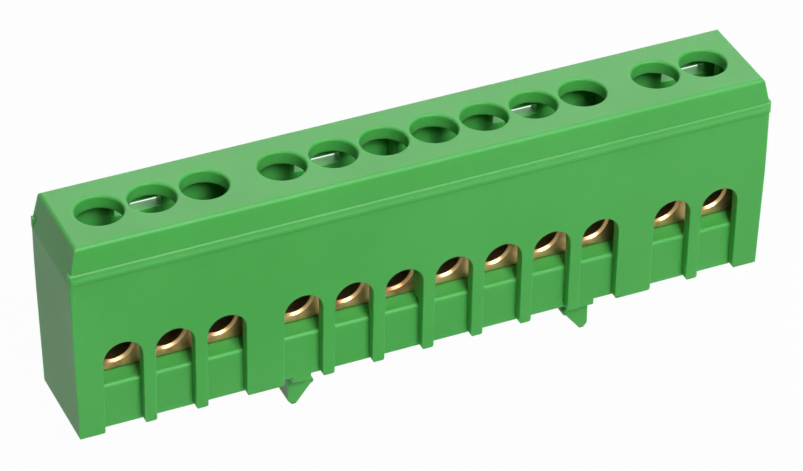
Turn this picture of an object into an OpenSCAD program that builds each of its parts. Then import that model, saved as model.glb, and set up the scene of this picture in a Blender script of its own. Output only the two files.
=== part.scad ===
// Earth terminal bar for a 35 mm mounting rail: a moulded housing over a drilled
// brass bar, closed from below by a moulded base with two rail hooks.
// Millimetres. X runs along the bar, Y from the wire side to the back, Z up.
// The origin is the middle of the rail seat, on the underside of the base.

/* [Terminals] */
// Distance between neighbouring wire entries of one group
pitch = 6.5; // [6.3:0.1:8]
// Distance between the wire entries on either side of a group gap
gap_pitch = 9.75; // [9:0.25:13]
// Diameter of the wire bores in the brass bar
wire_d = 5; // [4:0.1:5.2]
// Height of the wire bores above the underside of the brass bar
wire_rise = 3.9; // [3.6:0.1:4.1]

/* [Brass bar] */
// Thickness of the brass bar, front to back
bar_w = 6; // [5.9:0.1:6.5]
// Height of the brass bar
bar_h = 9; // [8:0.1:10]
// Chamfer at both mouths of a wire bore
mouth_chamfer = 0.3; // [0.1:0.05:0.4]
// Rounding of the long edges of the brass bar
bar_edge_r = 0.4; // [0.2:0.1:0.8]

/* [Terminal screws] */
// Thread diameter of the terminal screws
screw_d = 5; // [4:0.1:5.1]
// Threaded length under the screw head
screw_l = 6.4; // [5.5:0.1:7.5]
// Diameter of the screw head
head_d = 5.6; // [5.3:0.1:5.7]
// Height of the screw head
head_h = 1.8; // [1.4:0.1:2.4]
// Width of the driver slot
driver_slot_w = 0.9; // [0.6:0.1:1.2]
// Depth of the driver slot
driver_slot_d = 1; // [0.6:0.1:1.2]
// Radial clearance between a screw and its threaded hole
thread_gap = 0.05; // [0.02:0.01:0.1]

/* [Housing] */
// Depth of the housing at its parting line, without the bead
body_w = 13.2; // [13:0.1:16]
// Height of the housing above the rail seat
body_h = 27.6; // [26.6:0.1:34]
// Length of housing beyond the first and the last wire axis
end_margin = 6.2; // [5.9:0.1:10]
// Wall thickness at the parting line
wall = 1.6; // [1.3:0.05:1.8]
// Thickness of the flat top
roof = 1.75; // [1.4:0.05:2.5]
// Height of the parting line above the rail seat
parting_z = 22.8; // [22:0.1:23.4]
// How far the long walls lean in between the parting line and the bottom edge
skirt_draft = 0.4; // [0.1:0.05:0.5]
// How far the end walls lean in between the parting line and the bottom edge
end_draft = 0.5; // [0.1:0.05:0.7]
// How far the cap is set back behind the bead at the parting line
cap_step = 0.2; // [0.1:0.05:0.3]
// How far the long faces of the cap lean in between the bead and the top
cap_draft = 0.25; // [0.1:0.05:0.5]
// How far the end faces of the cap lean in between the parting line and the top
cap_end_draft = 1; // [0.3:0.05:1.1]
// Rounding of the upright corners
corner_r = 0.6; // [0.3:0.1:1.5]
// Rounding of the edges around the top
top_r = 0.5; // [0.2:0.1:1]
// Rounding of the bottom edges
foot_r = 0.3; // [0.1:0.05:0.5]
// How far the bead above the parting line stands out
bead_out = 0.22; // [0.1:0.02:0.4]
// Height of the bead above the parting line
bead_h = 1.5; // [0.8:0.1:1.6]
// Width of the wire slots in the front wall
slot_w = 5; // [4.9:0.1:5.4]
// Rounding of the two bottom corners of a wire slot
slot_foot_r = 0.5; // [0.2:0.05:0.5]
// Diameter of the screwdriver holes in the top
access_d = 5.8; // [5.7:0.1:5.9]
// Rounding of the rim of a screwdriver hole
access_r = 0.3; // [0.1:0.1:0.5]
// Thickness of the ribs that locate the brass bar
rib_t = 1.2; // [1:0.1:1.6]
// How far the locating ribs reach over the top of the brass bar
rib_lip = 1; // [0.6:0.1:1.2]

/* [Back windows] */
// Width of the windows in the back wall
window_w = 5.8; // [4:0.1:6.3]
// Height of the windows in the back wall
window_h = 1.2; // [0.9:0.1:1.8]
// Depth of the recess inside, between a window and the ceiling
recess_d = 0.3; // [0.1:0.05:0.4]
// Depth of the shallow flute between a window and the top
flute_d = 0.25; // [0.1:0.05:0.4]

/* [Base] */
// Height of the seat under the brass bar
seat_z = 6.6; // [6.2:0.1:7]
// Drop from the seat to the front edge of the ledge
ledge_drop = 0.4; // [0:0.05:0.6]
// Thickness of the base's top plate
base_roof = 1.7; // [1.4:0.1:2.5]
// Thickness of the base's side walls and cross ribs
base_wall = 1.4; // [1.2:0.1:1.8]
// Widest pocket between two cross ribs
pocket_max = 8.4; // [5:0.1:8.6]
// Clearance between the base and the housing
base_gap = 0.05; // [0.02:0.01:0.15]
// How far the snap ridges stand out at the ends of the base
snap_out = 0.45; // [0.3:0.05:0.5]

/* [Rail hooks] */
// Width of the mounting rail
rail_w = 35; // [35:0.1:36]
// Side clearance between the rail's edge and a hook, at each edge
rail_gap = 0.15; // [0.05:0.05:0.3]
// Distance from the middle of the body to the middle of the rail
rail_shift = 2.85; // [0:0.05:3.5]
// Thickness of a hook's stem
stem_t = 2.4; // [2:0.1:3]
// Thickness of the rail's edge, with its clearance
rail_slot = 1.25; // [1.1:0.05:1.6]
// How far a barb reaches under the rail
barb = 0.9; // [0.6:0.05:1.2]
// Drop from the rail seat to the tip of a hook
hook_drop = 5.25; // [4.5:0.05:7]
// Length of a hook along the rail
hook_l = 6.9; // [5:0.1:9]
// Drop of the short stem foot that runs the full depth of the base
foot_drop = 0.8; // [0.4:0.1:1]

/* [Hidden] */
$fn = 48;

// Terminals in each group, counted from the left, and where the back windows are
GROUPS = [3, 7, 2];
WINDOW_AT = [1, 4, 8, 11];
COUNT = GROUPS[0] + GROUPS[1] + GROUPS[2];
FIRST_SCREW = 3;

plastic = [0.32, 0.66, 0.34];
brass = [0.80, 0.64, 0.33];
steel = [0.72, 0.70, 0.62];

// A cut runs this far past the face that it opens
over = 1;
// Flat contacts that are not press fits keep this distance
rest_gap = 0.1;

// Places along the bar
span = (COUNT - 3) * pitch + 2 * gap_pitch;
body_l = span + 2 * end_margin;
body_x = -rail_shift;
function gaps_before(i) = (i >= GROUPS[0] ? 1 : 0) + (i >= GROUPS[0] + GROUPS[1] ? 1 : 0);
function terminal_x(i) = body_x - span / 2 + i * pitch + gaps_before(i) * (gap_pitch - pitch);
// Each locating rib stands halfway between two terminals
RIB_AFTER = [GROUPS[0] - 1, GROUPS[0] + 2, GROUPS[0] + GROUPS[1] - 1];
function rib_x(i) = (terminal_x(i) + terminal_x(i + 1)) / 2;

// Heights
bar_z = seat_z;
bar_top = bar_z + bar_h;
wire_z = bar_z + wire_rise;
bead_top = parting_z + bead_h;
ceiling_z = body_h - roof;

// Inside of the housing
inner_l = body_l - 2 * wall;
inner_w = body_w - 2 * wall;
base_l = inner_l - 2 * base_gap;
base_w = inner_w - 2 * base_gap;
bar_l = inner_l - 6 * rest_gap;

// Lean of the cap's long faces, step and draft together
cap_lean = cap_step + cap_draft;

// Upright outline of the housing for a given half width. The skirt leans in by
// draft towards the bottom, the cap by lean towards the top, and the rounding of
// the top edges meets the leaning side smoothly.
module housing_outline(half, draft, lean) {
  foot = half - draft;
  angle = atan(lean / (body_h - parting_z));
  top_x = half - lean + top_r * tan(angle) - top_r / cos(angle);
  top_z = body_h - top_r;
  side_x = top_x + top_r * cos(angle);
  side_z = top_z + top_r * sin(angle);
  union() {
    polygon([
      [-foot, foot_r], [-half, parting_z], [-side_x, side_z], [-top_x, body_h],
      [top_x, body_h], [side_x, side_z], [half, parting_z], [foot, foot_r],
      [foot - foot_r, 0], [-foot + foot_r, 0],
    ]);
    for (s = [-1, 1]) {
      translate([s * top_x, top_z]) circle(top_r);
      translate([s * (foot - foot_r), foot_r]) circle(foot_r);
    }
  }
}

// Outline of the bead: undercut below, upright nose, sloping back into the cap
module bead_outline(half) {
  nose = half + bead_out;
  polygon([
    [half - wall / 2, parting_z], [half, parting_z], [nose, parting_z + bead_h * 0.1],
    [nose, parting_z + bead_h * 0.4], [half + bead_out * 0.4, parting_z + bead_h * 0.62],
    [half, parting_z + bead_h * 0.85], [half - cap_step, bead_top], [half - wall / 2, bead_top],
  ]);
}

// Hollow of the housing: straight up to the parting line, then leaning in
module cavity_outline(half, lean) {
  polygon([
    [-half, -over], [-half, parting_z], [-half + lean / 2, ceiling_z],
    [half - lean / 2, ceiling_z], [half, parting_z], [half, -over],
  ]);
}

// Turns an upright outline into a prism along Y, or along X
module along_y(length) {
  translate([body_x, length / 2, 0]) rotate([90, 0, 0]) linear_extrude(length) children();
}
module along_x(length) { rotate([90, 0, 90]) linear_extrude(length, center = true) children(); }
module along_x_body(length) { translate([body_x, 0, 0]) along_x(length) children(); }

module round_plan(l, w, r) {
  square([l - 2 * r, w], center = true);
  square([l, w - 2 * r], center = true);
  for (sx = [-1, 1]) for (sy = [-1, 1]) translate([sx * (l / 2 - r), sy * (w / 2 - r)]) circle(r);
}

module housing_solid() {
  intersection() {
    along_y(body_w + over) housing_outline(body_l / 2, end_draft, cap_end_draft);
    along_x_body(body_l + over) housing_outline(body_w / 2, skirt_draft, cap_lean);
    translate([body_x, 0, 0]) linear_extrude(body_h) round_plan(body_l, body_w, corner_r);
  }
}

// The beads run along both long faces and end flush with the end faces
module bead_solid() {
  for (m = [0, 1]) mirror([0, m, 0]) intersection() {
    along_x_body(body_l) bead_outline(body_w / 2);
    translate([body_x, 0, parting_z]) linear_extrude(bead_h)
      round_plan(body_l, body_w + 2 * bead_out, corner_r);
  }
}

module cavity() {
  intersection() {
    along_y(inner_w + over) cavity_outline(inner_l / 2, cap_end_draft);
    along_x_body(inner_l + over) cavity_outline(inner_w / 2, cap_lean);
    translate([body_x, 0, -over]) linear_extrude(body_h) square([inner_l, inner_w], center = true);
  }
}

// One wire slot: round at the top, open at the bottom edge of the front wall,
// where its corners are rounded
module wire_slot(x) {
  translate([x, -inner_w / 2 + rest_gap, 0]) rotate([90, 0, 0]) linear_extrude(wall + over) {
    translate([-slot_w / 2, -over]) square([slot_w, wire_z + over]);
    translate([0, wire_z]) circle(slot_w / 2);
    difference() {
      translate([-slot_w / 2 - slot_foot_r, -over]) square([slot_w + 2 * slot_foot_r, over + slot_foot_r]);
      for (s = [-1, 1]) translate([s * (slot_w / 2 + slot_foot_r), slot_foot_r]) circle(slot_foot_r);
    }
  }
}

// One screwdriver hole with a rounded rim
module access_hole(x) {
  translate([x, 0, 0]) {
    translate([0, 0, ceiling_z - over]) cylinder(d = access_d, h = roof + 2 * over);
    translate([0, 0, body_h - access_r]) rotate_extrude() difference() {
      square([access_d / 2 + access_r, access_r + over]);
      translate([access_d / 2 + access_r, 0]) circle(access_r);
    }
  }
}

// Window in the back wall, with a recess above it inside and a shallow flute up
// to the top edge outside
module back_window(x) {
  window_z = parting_z - window_h / 3;
  inner = inner_w / 2;
  outer = body_w / 2;
  translate([x, 0, 0]) {
    translate([-window_w / 2, inner - cap_lean, window_z]) cube([window_w, wall + cap_lean + over, window_h]);
    along_x(window_w) polygon([
      [inner - cap_lean, window_z], [inner + recess_d, window_z],
      [inner - cap_lean / 2 + recess_d, ceiling_z], [inner - cap_lean, ceiling_z],
    ]);
    along_x(window_w) polygon([
      [outer - cap_step - flute_d, window_z], [outer + over, window_z],
      [outer + over, body_h + over], [outer - cap_lean - flute_d, body_h + over],
    ]);
  }
}

// Pocket in each end wall for the snap ridges of the base
module snap_pocket() {
  for (s = [-1, 1]) translate([body_x + s * inner_l / 2, 0, seat_z / 2])
    cube([2 * (snap_out + base_gap), inner_w / 2, seat_z / 4 + 2 * rest_gap], center = true);
}

// Rib that locates the bar from one side and reaches over its top edge
module locating_rib(x) {
  side = bar_w / 2 + rest_gap;
  top = bar_top + rest_gap;
  translate([x, 0, 0]) along_x(rib_t) polygon([
    [inner_w / 2 + rest_gap, seat_z + rest_gap], [side, seat_z + rest_gap],
    [side, top], [bar_w / 2 - rib_lip, top], [bar_w / 2 - rib_lip, top + 2 * rib_lip],
    [side, top + 4 * rib_lip], [side, ceiling_z + rest_gap], [inner_w / 2 + rest_gap, ceiling_z + rest_gap],
  ]);
}

// Rib on an end wall that holds the end of the bar down
module end_rib(y) {
  reach = inner_l / 2 - bar_l / 2 + rib_lip;
  translate([inner_l / 2 - reach, y - rib_t / 2, bar_top + rest_gap])
    cube([reach + wall / 3, rib_t, ceiling_z - bar_top]);
}

module housing() {
  color(plastic) union() {
    difference() {
      union() {
        housing_solid();
        bead_solid();
      }
      cavity();
      for (i = [0:COUNT - 1]) {
        wire_slot(terminal_x(i));
        access_hole(terminal_x(i));
      }
      for (i = WINDOW_AT) back_window(terminal_x(i));
      snap_pocket();
    }
    for (i = RIB_AFTER) for (m = [0, 1]) mirror([0, m, 0]) locating_rib(rib_x(i));
    for (m = [0, 1]) translate([body_x, 0, 0]) mirror([m, 0, 0])
      for (s = [-1, 1]) end_rib(s * (bar_w / 2 - rib_t / 2));
  }
}

// Section of the base: upright walls and a ledge that rises to the bar seat
module base_outline() {
  half = base_w / 2;
  ledge_z = seat_z - ledge_drop;
  union() {
    polygon([
      [-half, 0], [-half, ledge_z - top_r], [-half + top_r, ledge_z], [-bar_w / 2, seat_z],
      [bar_w / 2, seat_z], [half - top_r, ledge_z], [half, ledge_z - top_r], [half, 0],
    ]);
    for (s = [-1, 1]) translate([s * (half - top_r), ledge_z - top_r]) circle(top_r);
  }
}

// Core pockets under the base between x0 and x1, parted by cross ribs
module pockets(x0, x1) {
  count = ceil((x1 - x0 + base_wall) / (pocket_max + base_wall));
  length = (x1 - x0 + base_wall) / count - base_wall;
  for (i = [0:count - 1]) translate([x0 + i * (length + base_wall), -base_w / 2 + base_wall, -over])
    cube([length, base_w - 2 * base_wall, seat_z - base_roof + over]);
}

// Hook for one edge of the rail, in the plane across the rail
module hook_outline() {
  inner = rail_w / 2 + rail_gap;
  outer = inner + stem_t;
  nose = inner - barb;
  polygon([
    [inner, 0], [inner, -rail_slot], [nose, -rail_slot - barb * 1.1], [nose, -hook_drop / 2],
    [nose + barb * 0.4, -hook_drop * 0.53], [outer - stem_t * 0.42, -hook_drop],
    [outer - stem_t * 0.2, -hook_drop],
    [outer, -hook_drop + stem_t * 0.24], [outer, 0],
  ]);
}

module rail_hook() {
  inner = rail_w / 2 + rail_gap;
  rotate([90, 0, 0]) {
    linear_extrude(hook_l, center = true) hook_outline();
    linear_extrude(base_w, center = true)
      translate([inner, -foot_drop]) square([stem_t, foot_drop + base_wall]);
  }
}

// Snap ridge at one end of the base
module snap_ridge() {
  ridge_l = inner_w / 2 - 2 * rest_gap;
  translate([base_l / 2, 0, seat_z / 2]) rotate([90, 0, 0]) linear_extrude(ridge_l, center = true)
    polygon([
      [-base_wall / 2, -seat_z / 8], [snap_out, 0], [snap_out, seat_z / 8], [-base_wall / 2, seat_z / 8],
    ]);
}

module base() {
  rail_edge = rail_w / 2 + rail_gap;
  left = body_x - base_l / 2 + base_wall;
  right = body_x + base_l / 2 - base_wall;
  color(plastic) union() {
    difference() {
      along_x_body(base_l) base_outline();
      pockets(left, -rail_edge - stem_t);
      pockets(-rail_edge, -base_wall / 2);
      pockets(base_wall / 2, rail_edge);
      pockets(rail_edge + stem_t, right);
    }
    for (m = [0, 1]) mirror([m, 0, 0]) rail_hook();
    for (m = [0, 1]) translate([body_x, 0, 0]) mirror([m, 0, 0]) snap_ridge();
  }
}

// Wire bore through the bar with a chamfer at both mouths
module wire_bore(x) {
  translate([x, 0, wire_z]) rotate([90, 0, 0]) {
    cylinder(d = wire_d, h = bar_w + 2 * over, center = true);
    for (m = [0, 1]) mirror([0, 0, m]) translate([0, 0, bar_w / 2 - mouth_chamfer])
      cylinder(d1 = wire_d, d2 = wire_d + 2 * (mouth_chamfer + over), h = mouth_chamfer + over);
  }
}

// Threaded hole from the top of the bar down into the wire bore
module screw_bore(x) {
  translate([x, 0, wire_z - wire_d / 4]) cylinder(d = screw_d + 2 * thread_gap, h = bar_h);
}

module bar_section() {
  r = bar_edge_r;
  translate([0, bar_z + bar_h / 2]) {
    square([bar_w - 2 * r, bar_h], center = true);
    square([bar_w, bar_h - 2 * r], center = true);
    for (sx = [-1, 1]) for (sz = [-1, 1]) translate([sx * (bar_w / 2 - r), sz * (bar_h / 2 - r)]) circle(r);
  }
}

module busbar() {
  color(brass) difference() {
    along_x_body(bar_l) bar_section();
    for (i = [0:COUNT - 1]) {
      wire_bore(terminal_x(i));
      screw_bore(terminal_x(i));
    }
  }
}

// Slotted screw, backed out until its end clears the wire bore
module terminal_screw(i) {
  tip_z = wire_z + wire_d / 2;
  tip_chamfer = screw_d / 10;
  head_z = tip_z + screw_l;
  head_r = head_h / 4;
  color(steel) translate([terminal_x(i), 0, 0]) difference() {
    union() {
      translate([0, 0, tip_z]) cylinder(d1 = screw_d - 2 * tip_chamfer, d2 = screw_d, h = tip_chamfer);
      translate([0, 0, tip_z + tip_chamfer]) cylinder(d = screw_d, h = screw_l);
      translate([0, 0, head_z]) rotate_extrude() {
        square([head_d / 2, head_h - head_r]);
        square([head_d / 2 - head_r, head_h]);
        translate([head_d / 2 - head_r, head_h - head_r]) circle(head_r);
      }
    }
    translate([0, 0, head_z + head_h - driver_slot_d / 2 + over / 2])
      cube([head_d + over, driver_slot_w, driver_slot_d + over], center = true);
  }
}

housing();
base();
busbar();
for (i = [0:COUNT - 1])
  terminal_screw(i);
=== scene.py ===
"""Looks of a rail-mounted earth terminal bar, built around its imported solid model.

A green moulded housing stands over a drilled brass bar with a clamping screw above each wire bore, and a
moulded base with two rail hooks closes it from below. The solids come from the frame. This script gives every
surface its finish, with softly shaded edges, and makes the studio and the camera. Lengths are metres, in the
frame's own axes.
"""

import logging
import math
from dataclasses import dataclass, field
from enum import Enum

import bpy
from mathutils import Matrix, Vector


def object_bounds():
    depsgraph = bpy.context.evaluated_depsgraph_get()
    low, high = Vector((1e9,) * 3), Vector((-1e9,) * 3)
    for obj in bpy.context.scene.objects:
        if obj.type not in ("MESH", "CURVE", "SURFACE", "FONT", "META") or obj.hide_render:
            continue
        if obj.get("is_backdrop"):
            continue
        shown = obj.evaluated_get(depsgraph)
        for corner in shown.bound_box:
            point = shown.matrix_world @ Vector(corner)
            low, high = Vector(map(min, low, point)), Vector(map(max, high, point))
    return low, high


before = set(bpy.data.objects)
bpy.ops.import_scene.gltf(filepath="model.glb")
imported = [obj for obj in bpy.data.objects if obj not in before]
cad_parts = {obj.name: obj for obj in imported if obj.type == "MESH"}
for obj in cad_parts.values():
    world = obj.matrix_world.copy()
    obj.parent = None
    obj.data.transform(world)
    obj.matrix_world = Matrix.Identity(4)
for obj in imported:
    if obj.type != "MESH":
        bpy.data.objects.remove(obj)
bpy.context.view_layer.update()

LOG = logging.getLogger("terminal_bar")
MM = 0.001

# Where a Mix node keeps its two colours and their mixture.
MIX_FIRST, MIX_SECOND, MIX_RESULT = 6, 7, 2


class Operation(Enum):
    """What a Math node works out, by its Blender name."""

    SUM = "ADD"
    PRODUCT = "MULTIPLY"
    GREATEST = "MAXIMUM"


# ---------------------------------------------------------------------------------------------------------
# Shader maths
# ---------------------------------------------------------------------------------------------------------


class Value:
    """A number that varies over a surface, written as a Python expression.

    It wraps an output socket, and each operator on it adds one Math node.
    """

    def __init__(self, kit: "NodeKit", socket: bpy.types.NodeSocket) -> None:
        """Wraps a socket.

        Args:
            kit: The node tree that the socket belongs to.
            socket: The output socket that carries the number.
        """
        self.kit = kit
        self.socket = socket

    def _math(self, operation: Operation, *operands: "Value | float") -> "Value":
        """Adds one Math node.

        Args:
            operation: What the node works out.
            operands: Its inputs, in order.

        Returns:
            The node's result.
        """
        node = self.kit.node("ShaderNodeMath", {"operation": operation.value}, dict(enumerate(operands)))
        return Value(self.kit, node.outputs[0])

    def __add__(self, other: "Value | float") -> "Value":
        """Sum."""
        return self._math(Operation.SUM, self, other)

    __radd__ = __add__

    def __mul__(self, other: "Value | float") -> "Value":
        """Product."""
        return self._math(Operation.PRODUCT, self, other)

    __rmul__ = __mul__

    def highest(self, other: "Value | float") -> "Value":
        """The greater of the two."""
        return self._math(Operation.GREATEST, self, other)

    def ramp(self, low: float, high: float) -> "Value":
        """Maps low to 0 and high to 1, clamped and eased between them.

        Args:
            low: The number that becomes 0.
            high: The number that becomes 1.

        Returns:
            The mapped number.
        """
        node = self.kit.node(
            "ShaderNodeMapRange",
            {"interpolation_type": "SMOOTHSTEP", "clamp": True},
            {"Value": self, "From Min": low, "From Max": high},
        )
        return Value(self.kit, node.outputs["Result"])


class NodeKit:
    """One node tree, and the one way in which nodes are added to it."""

    def __init__(self, tree: bpy.types.NodeTree) -> None:
        """Empties a tree.

        Args:
            tree: The node tree of a material or of the surroundings.
        """
        self.tree = tree
        tree.nodes.clear()

    def node(self, kind: str, settings: dict[str, object], inputs: dict[str | int, object]) -> bpy.types.Node:
        """Adds any node.

        Args:
            kind: The node's type name.
            settings: Attributes, which are set first.
            inputs: Values, wrapped values or sockets, by the input's name or number.

        Returns:
            The new node.
        """
        node = self.tree.nodes.new(kind)
        for key, value in settings.items():
            setattr(node, key, value)
        for key, value in inputs.items():
            self.feed(node.inputs[key], value)
        return node

    def feed(self, socket: bpy.types.NodeSocket, value: object) -> None:
        """Links or sets one input socket.

        Args:
            socket: The input.
            value: A wrapped value, a socket, a number, a colour or a vector.
        """
        if isinstance(value, Value):
            self.tree.links.new(value.socket, socket)
        elif isinstance(value, bpy.types.NodeSocket):
            self.tree.links.new(value, socket)
        elif isinstance(value, tuple) and len(value) == 3 and len(socket.default_value) == 4:
            socket.default_value = (*value, 1.0)
        else:
            socket.default_value = value

    def seen_directly(self) -> Value:
        """Tells a direct look from scattered light.

        Returns:
            1 for what the camera sees itself, in a mirror or through glass, and 0 for scattered light.
        """
        paths = self.node("ShaderNodeLightPath", {}, {})
        looks = ("Is Camera Ray", "Is Glossy Ray", "Is Transmission Ray")
        camera, mirror, glass = (Value(self, paths.outputs[name]) for name in looks)
        return camera.highest(mirror).highest(glass)


class MaterialKit(NodeKit):
    """One material's node tree, with a Principled surface to feed."""

    def __init__(self, name: str) -> None:
        """Makes an empty material with a Principled surface.

        Args:
            name: The material's name.
        """
        self.material = bpy.data.materials.new(name)
        self.material.use_nodes = True
        super().__init__(self.material.node_tree)
        self.output = self.node("ShaderNodeOutputMaterial", {}, {})
        self.surface = self.node("ShaderNodeBsdfPrincipled", {}, {})
        self.feed(self.output.inputs["Surface"], self.surface.outputs[0])
        self.place = self.node("ShaderNodeTexCoord", {}, {}).outputs["Object"]

    def set(self, **values: object) -> None:
        """Feeds the surface's own sockets, with underscores for the spaces in their names."""
        for key, value in values.items():
            self.feed(self.surface.inputs[key.replace("_", " ")], value)

    def stretched(self, scale: tuple[float, float, float]) -> bpy.types.NodeSocket:
        """The place on the piece, stretched along the axes.

        Args:
            scale: Factors along X, Y and Z.

        Returns:
            The stretched coordinates.
        """
        node = self.node("ShaderNodeMapping", {}, {"Vector": self.place, "Scale": scale})
        return node.outputs["Vector"]

    def noise(self, size: float, detail: float = 3.0, place: bpy.types.NodeSocket | None = None) -> Value:
        """Soft noise.

        Args:
            size: About how wide a blotch is, in metres.
            detail: Octaves of finer noise.
            place: Coordinates, where they aren't the plain ones.

        Returns:
            The noise, from 0 to 1.
        """
        node = self.node(
            "ShaderNodeTexNoise",
            {},
            {"Vector": place or self.place, "Scale": 1.0 / size, "Detail": detail, "Roughness": 0.5},
        )
        return Value(self, node.outputs["Fac"])

    def blend(self, factor: Value, first: object, second: object) -> bpy.types.NodeSocket:
        """Mixes two colours.

        Args:
            factor: 0 gives the first colour, 1 the second.
            first: A colour or a colour socket.
            second: A colour or a colour socket.

        Returns:
            The mixed colour.
        """
        node = self.node("ShaderNodeMix", {"data_type": "RGBA"}, {"Factor": factor})
        self.feed(node.inputs[MIX_FIRST], first)
        self.feed(node.inputs[MIX_SECOND], second)
        return node.outputs[MIX_RESULT]

    def relief(self, height: Value, depth: float) -> None:
        """Adds a bump to the surface, over the bumps that it has.

        Args:
            height: The height, from 0 to 1.
            depth: What 1 stands for, in metres.
        """
        inputs = {"Height": height, "Distance": depth, "Strength": 1.0}
        socket = self.surface.inputs["Normal"]
        if socket.is_linked:
            inputs["Normal"] = socket.links[0].from_socket
        node = self.node("ShaderNodeBump", {}, inputs)
        self.tree.links.new(node.outputs["Normal"], socket)

    def soft_edges(self, radius: float, samples: int = 6) -> None:
        """Rounds the shading of every edge.

        Args:
            radius: How far from an edge the rounding starts, in metres.
            samples: How many rays look for the edge.
        """
        node = self.node("ShaderNodeBevel", {"samples": samples}, {"Radius": radius})
        self.tree.links.new(node.outputs["Normal"], self.surface.inputs["Normal"])


# ---------------------------------------------------------------------------------------------------------
# Finishes
# ---------------------------------------------------------------------------------------------------------


@dataclass(frozen=True)
class MouldedPlastic:
    """Self-coloured plastic, straight from a polished steel mould."""

    name: str = "green_moulding"
    colour: tuple[float, float, float] = (0.066, 0.395, 0.072)
    deep_colour: tuple[float, float, float] = (0.06, 0.375, 0.065)
    least_roughness: float = 0.44
    flow_roughness: float = 0.08
    grain_roughness: float = 0.05
    refraction: float = 1.5
    scatter_depth: float = 1.6 * MM
    scatter_colour: tuple[float, float, float] = (0.25, 1.0, 0.45)
    flow_size: float = 14 * MM
    flow_range: tuple[float, float] = (0.3, 0.7)
    wave_size: float = 6 * MM
    wave_depth: float = 0.05 * MM
    grain_size: float = 0.25 * MM
    grain_depth: float = 0.003 * MM
    edge: float = 0.2 * MM

    def build(self) -> bpy.types.Material:
        """Makes the material, with flow marks in its colour and gloss and a slightly wavy face.

        Returns:
            The material.
        """
        kit = MaterialKit(self.name)
        flow = kit.noise(self.flow_size, detail=2.0)
        grain = kit.noise(self.grain_size, detail=2.0)
        kit.set(
            Base_Color=kit.blend(flow.ramp(*self.flow_range), self.colour, self.deep_colour),
            Roughness=flow * self.flow_roughness + grain * self.grain_roughness + self.least_roughness,
            Subsurface_Weight=1.0,
            Subsurface_Scale=self.scatter_depth,
            Subsurface_Radius=self.scatter_colour,
            IOR=self.refraction,
        )
        kit.soft_edges(self.edge)
        kit.relief(kit.noise(self.wave_size, detail=1.0), self.wave_depth)
        kit.relief(grain, self.grain_depth)
        return kit.material


@dataclass(frozen=True)
class DrawnBrass:
    """Drawn brass bar, bright with duller patches scattered at random."""

    name: str = "drawn_brass"
    colour: tuple[float, float, float] = (0.66, 0.42, 0.2)
    dull_colour: tuple[float, float, float] = (0.34, 0.17, 0.08)
    least_roughness: float = 0.2
    patch_roughness: float = 0.25
    line_roughness: float = 0.15
    patch_size: float = 3 * MM
    patch_range: tuple[float, float] = (0.45, 0.7)
    line_size: float = 0.4 * MM
    line_stretch: tuple[float, float, float] = (0.03, 1.0, 1.0)
    line_depth: float = 0.01 * MM
    pit_size: float = 0.5 * MM
    pit_depth: float = 0.02 * MM
    edge: float = 0.06 * MM

    def build(self) -> bpy.types.Material:
        """Makes the material, with die lines along the bar and duller patches.

        Returns:
            The material.
        """
        kit = MaterialKit(self.name)
        patches = kit.noise(self.patch_size, detail=4.0)
        lines = kit.noise(self.line_size, detail=4.0, place=kit.stretched(self.line_stretch))
        kit.set(
            Base_Color=kit.blend(patches.ramp(*self.patch_range), self.colour, self.dull_colour),
            Roughness=patches * self.patch_roughness + lines * self.line_roughness + self.least_roughness,
            Metallic=1.0,
        )
        kit.soft_edges(self.edge)
        kit.relief(lines, self.line_depth)
        kit.relief(kit.noise(self.pit_size), self.pit_depth)
        return kit.material


@dataclass(frozen=True)
class PlatedSteel:
    """Zinc-plated screw steel."""

    name: str = "plated_steel"
    colour: tuple[float, float, float] = (0.62, 0.60, 0.52)
    dull_colour: tuple[float, float, float] = (0.5, 0.47, 0.38)
    least_roughness: float = 0.22
    mottle_roughness: float = 0.2
    mottle_size: float = 0.8 * MM
    mottle_depth: float = 0.01 * MM
    edge: float = 0.1 * MM

    def build(self) -> bpy.types.Material:
        """Makes the material, with a faint mottle from the plating.

        Returns:
            The material.
        """
        kit = MaterialKit(self.name)
        mottle = kit.noise(self.mottle_size, detail=4.0)
        kit.set(
            Base_Color=kit.blend(mottle, self.colour, self.dull_colour),
            Roughness=mottle * self.mottle_roughness + self.least_roughness,
            Metallic=1.0,
        )
        kit.soft_edges(self.edge)
        kit.relief(mottle, self.mottle_depth)
        return kit.material


# ---------------------------------------------------------------------------------------------------------
# The part
# ---------------------------------------------------------------------------------------------------------


@dataclass
class TerminalBar:
    """The solids of the frame, dressed."""

    plastic: MouldedPlastic = field(default_factory=MouldedPlastic)
    brass: DrawnBrass = field(default_factory=DrawnBrass)
    steel: PlatedSteel = field(default_factory=PlatedSteel)

    def dress(self) -> None:
        """Gives every solid its finish."""
        plastic = self.plastic.build()
        finishes = {
            "housing": plastic,
            "base": plastic,
            "busbar": self.brass.build(),
            "terminal_screw": self.steel.build(),
        }
        for name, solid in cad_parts.items():
            finish = next(material for start, material in finishes.items() if name.startswith(start))
            solid.data.materials.clear()
            solid.data.materials.append(finish)
            LOG.info("%s: %s", name, finish.name)


# ---------------------------------------------------------------------------------------------------------
# Studio
# ---------------------------------------------------------------------------------------------------------


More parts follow.
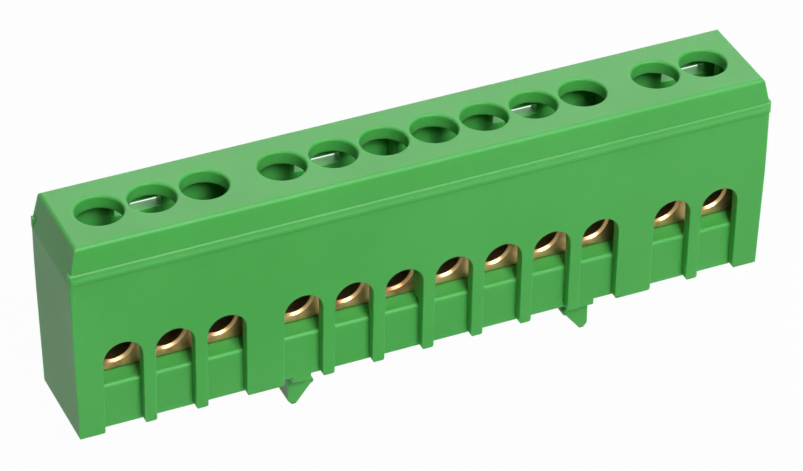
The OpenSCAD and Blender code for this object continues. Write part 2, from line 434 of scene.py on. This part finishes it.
@dataclass(frozen=True)
class Viewpoint:
    """Where the camera stands, as angles and a distance from the point that it looks at."""

    aim: tuple[float, float, float] = (-3.696 * MM, 0.036 * MM, 13.067 * MM)
    distance: float = 0.48295
    azimuth: float = 24.192
    elevation: float = 35.964
    roll: float = 0.573
    lens: float = 180.19
    sensor_width: float = 36.0
    nearest: float = 0.01
    farthest: float = 10.0

    def place(self) -> None:
        """Makes the camera and gives it to the scene."""
        data = bpy.data.cameras.new("camera")
        data.lens = self.lens
        data.sensor_width = self.sensor_width
        data.clip_start = self.nearest
        data.clip_end = self.farthest
        camera = bpy.data.objects.new("camera", data)
        bpy.context.scene.collection.objects.link(camera)
        turn = Matrix.Rotation(math.radians(-self.azimuth), 4, "Z")
        tilt = Matrix.Rotation(math.radians(90.0 - self.elevation), 4, "X")
        roll = Matrix.Rotation(math.radians(self.roll), 4, "Z")
        back = Matrix.Translation((0.0, 0.0, self.distance))
        camera.matrix_world = Matrix.Translation(self.aim) @ turn @ tilt @ roll @ back
        bpy.context.scene.camera = camera


@dataclass(frozen=True)
class Lamp:
    """One soft area lamp, aimed at the middle of the part."""

    name: str
    place: tuple[float, float, float]
    size: float
    power: float

    def hang(self, target: Vector) -> None:
        """Makes the lamp.

        Args:
            target: The point that it is aimed at.
        """
        data = bpy.data.lights.new(self.name, "AREA")
        data.shape = "SQUARE"
        data.size = self.size
        data.energy = self.power
        lamp = bpy.data.objects.new(self.name, data)
        bpy.context.scene.collection.objects.link(lamp)
        lamp.location = self.place
        lamp.rotation_euler = (target - lamp.location).to_track_quat("-Z", "Y").to_euler()


@dataclass
class Studio:
    """White floor and surroundings, soft lamps and the camera."""

    floor_size: float = 3.0
    floor_roughness: float = 0.9
    fill: float = 0.24
    floor_grey: float = 0.45
    floor_white: float = 0.97
    lamps: tuple[Lamp, ...] = (
        Lamp("key_softbox", (0.056, -0.641, 0.643), 0.3, 8.4),
        Lamp("back_softbox", (0.40, 0.90, 0.72), 0.9, 5.0),
    )

    def build(self) -> None:
        """Makes the whole studio."""
        low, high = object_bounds()
        self._surroundings()
        self._floor(low[2])
        middle = (Vector(low) + Vector(high)) / 2
        for lamp in self.lamps:
            lamp.hang(middle)
        Viewpoint().place()
        bpy.context.scene.view_settings.view_transform = "Standard"

    def _surroundings(self) -> None:
        """Makes surroundings that look white and fill the shadows softly."""
        world = bpy.data.worlds.new("surroundings")
        world.use_nodes = True
        bpy.context.scene.world = world
        kit = NodeKit(world.node_tree)
        strength = kit.seen_directly() * (1.0 - self.fill) + self.fill
        background = kit.node("ShaderNodeBackground", {}, {"Strength": strength})
        kit.node("ShaderNodeOutputWorld", {}, {"Surface": background.outputs[0]})

    def _floor(self, height: float) -> None:
        """Makes the floor under the hooks' tips, which looks white and keeps the part's shadow.

        Args:
            height: The lowest point of the part.
        """
        bpy.ops.mesh.primitive_plane_add(size=self.floor_size, location=(0, 0, height))
        floor = bpy.context.object
        floor.name = "floor"
        kit = MaterialKit("white_floor")
        kit.set(Base_Color=(self.floor_grey,) * 3, Roughness=self.floor_roughness)
        glow = kit.node("ShaderNodeEmission", {}, {"Strength": 1.0})
        share = kit.seen_directly() * self.floor_white
        mix = kit.node("ShaderNodeMixShader", {}, {0: share, 1: kit.surface.outputs[0], 2: glow.outputs[0]})
        kit.feed(kit.output.inputs["Surface"], mix.outputs[0])
        floor.data.materials.append(kit.material)
        floor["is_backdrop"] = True


def main() -> None:
    """Dresses the part and sets up the studio."""
    logging.basicConfig(level=logging.INFO, format="%(message)s")
    bpy.ops.object.select_all(action="DESELECT")
    TerminalBar().dress()
    Studio().build()


if __name__ == "__main__":
    main()
